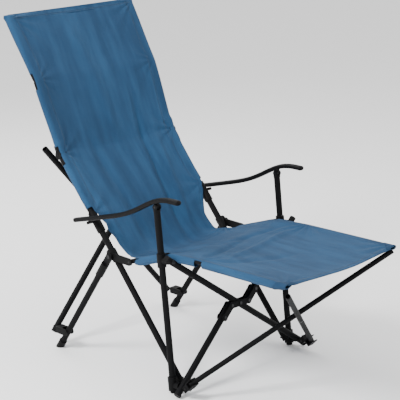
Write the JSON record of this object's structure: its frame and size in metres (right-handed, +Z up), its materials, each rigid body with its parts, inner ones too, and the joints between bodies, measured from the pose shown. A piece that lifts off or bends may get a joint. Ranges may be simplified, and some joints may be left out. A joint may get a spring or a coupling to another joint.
{
  "type": "folding lounge chair",
  "caption": "Folding high-back lounger with armrests and a fabric leg rest, on a crossed tube frame that folds sideways into a bundle.",
  "frame": {"origin": "on the floor, under the middle of the chair's width and length", "axes": "+Z up, -Y the way the sitter's feet point, +X the sitter's left"},
  "size_m": [0.5773, 1.1288, 1.0197],
  "materials": {
    "frame_tube": "satin black powder coat",
    "moulded_fitting": "matte black moulded plastic",
    "rivets": "blackened steel",
    "armrest": "semi-gloss black",
    "sling_fabric": "coated plain-weave polyester, mid blue"
  },
  "bodies": {
    "front_foot_R": {"front_hub_R": "moulded_fitting", "hub_pins_R": "rivets"},
    "front_leg_R": {"front_leg_R": "frame_tube", "leg_foot_plug_R": "moulded_fitting", "leg_top_fork_R": "moulded_fitting", "front_knuckle_R": "moulded_fitting", "leg_pins_R": "rivets"},
    "arm_R": {"arm_R": "armrest"},
    "side_rail_R": {"side_rail_R": "frame_tube", "arm_catch_R": "moulded_fitting", "rail_bracket_R": "moulded_fitting", "rail_pins_R": "rivets", "back_knuckle_R": "moulded_fitting", "back_post_R": "frame_tube", "post_fittings_R": "moulded_fitting", "back_sling": "sling_fabric"},
    "rear_leg_R": {"rear_leg_R": "frame_tube", "rear_leg_socket_R": "moulded_fitting", "rear_foot_R": "moulded_fitting"},
    "rear_hub_R": {"rear_hub_R": "moulded_fitting"},
    "rest_clevis_R": {"leg_rest_clevis_R": "moulded_fitting", "clevis_pins_R": "rivets"},
    "seat_rod_R": {"seat_rod_R": "frame_tube", "seat_sling": "sling_fabric"},
    "front_foot_L": {"front_hub_L": "moulded_fitting", "hub_pins_L": "rivets"},
    "front_leg_L": {"front_leg_L": "frame_tube", "leg_foot_plug_L": "moulded_fitting", "leg_top_fork_L": "moulded_fitting", "front_knuckle_L": "moulded_fitting", "leg_pins_L": "rivets"},
    "arm_L": {"arm_L": "armrest"},
    "side_rail_L": {"side_rail_L": "frame_tube", "arm_catch_L": "moulded_fitting", "rail_bracket_L": "moulded_fitting", "rail_pins_L": "rivets", "back_knuckle_L": "moulded_fitting", "back_post_L": "frame_tube", "post_fittings_L": "moulded_fitting"},
    "rear_leg_L": {"rear_leg_L": "frame_tube", "rear_leg_socket_L": "moulded_fitting", "rear_foot_L": "moulded_fitting"},
    "rear_hub_L": {"rear_hub_L": "moulded_fitting"},
    "rest_clevis_L": {"leg_rest_clevis_L": "moulded_fitting", "clevis_pins_L": "rivets"},
    "seat_rod_L": {"seat_rod_L": "frame_tube"},
    "kinked_bar": {"half_bar_lower": "frame_tube", "half_bar_upper": "frame_tube", "half_bar_ends": "moulded_fitting", "cross_plates": "frame_tube", "cross_rivets": "rivets"},
    "straight_bar": {"front_bar": "frame_tube", "front_bar_ends": "moulded_fitting"},
    "rear_bar_R": {"rear_bar_R": "frame_tube", "rear_bar_rivets": "rivets"},
    "rear_bar_L": {"rear_bar_L": "frame_tube"},
    "leg_rest_bar_R": {"leg_rest_bar_R": "frame_tube", "leg_rest_rivet": "rivets"},
    "leg_rest_bar_L": {"leg_rest_bar_L": "frame_tube"}
  },
  "joints": [
    {"name": "frame_fold", "type": "hinge", "parent": "front_foot_R", "child": "kinked_bar", "pos_m": [-0.257, -0.18654, 0.02827], "axis": [0, -0.9932, 0.1167], "range_deg": [0, 44.25], "deforming": ["back_sling", "seat_sling"]},
    {"name": "front_cross_pivot", "type": "hinge", "parent": "kinked_bar", "child": "straight_bar", "pos_m": [0, -0.16496, 0.21201], "axis": [0, -0.9932, 0.1167], "range_deg": [-88.52, 0]},
    {"name": "leg_knuckle_R", "type": "hinge", "parent": "straight_bar", "child": "front_leg_R", "pos_m": [-0.257, -0.14337, 0.39574], "axis": [0, -0.9932, 0.1167], "range_deg": [0, 44.27]},
    {"name": "leg_knuckle_L", "type": "hinge", "parent": "kinked_bar", "child": "front_leg_L", "pos_m": [0.257, -0.14337, 0.39574], "axis": [0, -0.9932, 0.1167], "range_deg": [-44.27, 0]},
    {"name": "foot_pivot_L", "type": "hinge", "parent": "straight_bar", "child": "front_foot_L", "pos_m": [0.257, -0.18654, 0.02827], "axis": [0, -0.9932, 0.1167], "range_deg": [0, 44.27]},
    {"name": "rail_pivot_R", "type": "hinge", "parent": "front_foot_R", "child": "side_rail_R", "pos_m": [-0.231, -0.14956, 0.0345], "axis": [1, 0, 0], "range_deg": [0, 18.62]},
    {"name": "arm_hinge_R", "type": "hinge", "parent": "front_leg_R", "child": "arm_R", "pos_m": [-0.257, -0.0886, 0.545], "axis": [1, 0, 0], "range_deg": [0, 70.02]},
    {"name": "rear_leg_hinge_R", "type": "hinge", "parent": "side_rail_R", "child": "rear_leg_R", "pos_m": [-0.2515, 0.1195, 0.34896], "axis": [1, 0, 0], "range_deg": [-51.82, 0]},
    {"name": "rear_hub_hinge_R", "type": "hinge", "parent": "rear_leg_R", "child": "rear_hub_R", "pos_m": [-0.2515, 0.31508, 0.05965], "axis": [1, 0, 0], "range_deg": [0, 22.22]},
    {"name": "rest_hinge_R", "type": "hinge", "parent": "front_foot_R", "child": "rest_clevis_R", "pos_m": [-0.257, -0.20839, 0.03084], "axis": [1, 0, 0], "range_deg": [-42.12, 0]},
    {"name": "seat_rod_hinge_R", "type": "hinge", "parent": "side_rail_R", "child": "seat_rod_R", "pos_m": [-0.233, 0.0425, 0.34796], "axis": [1, 0, 0], "range_deg": [-110.02, 0]},
    {"name": "rail_pivot_L", "type": "hinge", "parent": "front_foot_L", "child": "side_rail_L", "pos_m": [0.231, -0.14956, 0.0345], "axis": [1, 0, 0], "range_deg": [0, 18.62]},
    {"name": "arm_hinge_L", "type": "hinge", "parent": "front_leg_L", "child": "arm_L", "pos_m": [0.257, -0.0886, 0.545], "axis": [1, 0, 0], "range_deg": [0, 70.02]},
    {"name": "rear_leg_hinge_L", "type": "hinge", "parent": "side_rail_L", "child": "rear_leg_L", "pos_m": [0.2515, 0.1195, 0.34896], "axis": [1, 0, 0], "range_deg": [-51.82, 0]},
    {"name": "rear_hub_hinge_L", "type": "hinge", "parent": "rear_leg_L", "child": "rear_hub_L", "pos_m": [0.2515, 0.31508, 0.05965], "axis": [1, 0, 0], "range_deg": [0, 22.22]},
    {"name": "rest_hinge_L", "type": "hinge", "parent": "front_foot_L", "child": "rest_clevis_L", "pos_m": [0.257, -0.20839, 0.03084], "axis": [1, 0, 0], "range_deg": [-42.12, 0]},
    {"name": "seat_rod_hinge_L", "type": "hinge", "parent": "side_rail_L", "child": "seat_rod_L", "pos_m": [0.233, 0.0425, 0.34796], "axis": [1, 0, 0], "range_deg": [-110.02, 0]},
    {"name": "rear_bar_pivot", "type": "hinge", "parent": "rear_hub_R", "child": "rear_bar_R", "pos_m": [-0.25, 0.3724, 0.05965], "axis": [0, -1, 0], "range_deg": [0, 34.33]},
    {"name": "rear_cross_pivot", "type": "hinge", "parent": "rear_bar_R", "child": "rear_bar_L", "pos_m": [0, 0.3829, 0.34082], "axis": [0, -1, 0], "range_deg": [-68.64, 0]},
    {"name": "rest_bar_pivot", "type": "hinge", "parent": "rest_clevis_R", "child": "leg_rest_bar_R", "pos_m": [-0.257, -0.22649, 0.05087], "axis": [0, -0.742, -0.6704], "range_deg": [0, 37.32]},
    {"name": "rest_cross_pivot", "type": "hinge", "parent": "leg_rest_bar_R", "child": "leg_rest_bar_L", "pos_m": [0, -0.39814, 0.22815], "axis": [0, -0.742, -0.6704], "range_deg": [-74.62, 0]}
  ],
  "couplings": [
    {"joint": "front_cross_pivot", "follows": "frame_fold", "ratio": -2},
    {"joint": "leg_knuckle_R", "follows": "frame_fold", "ratio": 0.99999},
    {"joint": "leg_knuckle_L", "follows": "frame_fold", "ratio": -0.99999},
    {"joint": "foot_pivot_L", "follows": "frame_fold", "ratio": 0.99999},
    {"joint": "rail_pivot_R", "follows": "frame_fold", "ratio": 0.42034},
    {"joint": "arm_hinge_R", "follows": "frame_fold", "ratio": 1.5819},
    {"joint": "rear_leg_hinge_R", "follows": "frame_fold", "ratio": -1.1706},
    {"joint": "rear_hub_hinge_R", "follows": "frame_fold", "ratio": 0.50169},
    {"joint": "rest_hinge_R", "follows": "frame_fold", "ratio": -0.95141},
    {"joint": "seat_rod_hinge_R", "follows": "frame_fold", "ratio": -2.4859},
    {"joint": "rail_pivot_L", "follows": "frame_fold", "ratio": 0.42034},
    {"joint": "arm_hinge_L", "follows": "frame_fold", "ratio": 1.5819},
    {"joint": "rear_leg_hinge_L", "follows": "frame_fold", "ratio": -1.1706},
    {"joint": "rear_hub_hinge_L", "follows": "frame_fold", "ratio": 0.50169},
    {"joint": "rest_hinge_L", "follows": "frame_fold", "ratio": -0.95141},
    {"joint": "seat_rod_hinge_L", "follows": "frame_fold", "ratio": -2.4859},
    {"joint": "rear_bar_pivot", "follows": "frame_fold", "ratio": 0.7754},
    {"joint": "rear_cross_pivot", "follows": "frame_fold", "ratio": -1.5508},
    {"joint": "rest_bar_pivot", "follows": "frame_fold", "ratio": 0.8429},
    {"joint": "rest_cross_pivot", "follows": "frame_fold", "ratio": -1.6858}
  ]
}
